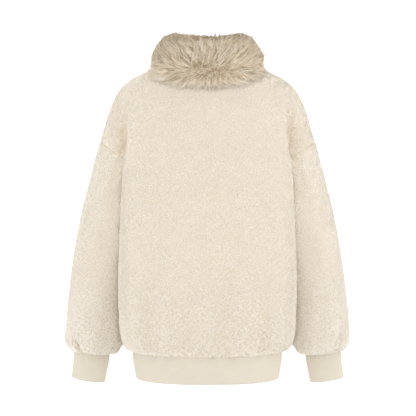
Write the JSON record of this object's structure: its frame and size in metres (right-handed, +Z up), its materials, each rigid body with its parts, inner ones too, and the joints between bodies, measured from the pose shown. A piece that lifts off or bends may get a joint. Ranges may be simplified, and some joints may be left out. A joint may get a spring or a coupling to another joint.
{
  "type": "sherpa fleece pullover",
  "caption": "Oversized sherpa fleece pullover with drop shoulders, a long-haired fur collar and jersey cuffs and hem, in its worn, hollow form.",
  "frame": {"origin": "middle of the shoulder line at the neck, where the wearer's shoulders hold the garment up", "axes": "+Z up, -Y towards the front of the garment, +Y towards its back, +X towards the wearer's left"},
  "size_m": [0.635, 0.2688, 0.7748],
  "materials": {
    "body_fleece": "curly cream sherpa pile, matt with a soft nap",
    "sleeve_fleece": "curly cream sherpa pile, matt with a soft nap",
    "hem_jersey": "smooth double-knit jersey, matt",
    "cuff_jersey": "smooth double-knit jersey, matt",
    "collar_fur": "long beige and taupe fur with pale tips and a soft lustre"
  },
  "bodies": {
    "root": {"back": "body_fleece", "front": "body_fleece", "sleeve_left": "sleeve_fleece", "sleeve_right": "sleeve_fleece", "cuff_left": "cuff_jersey", "cuff_right": "cuff_jersey", "hem_band": "hem_jersey", "collar": "collar_fur"}
  },
  "joints": []
}
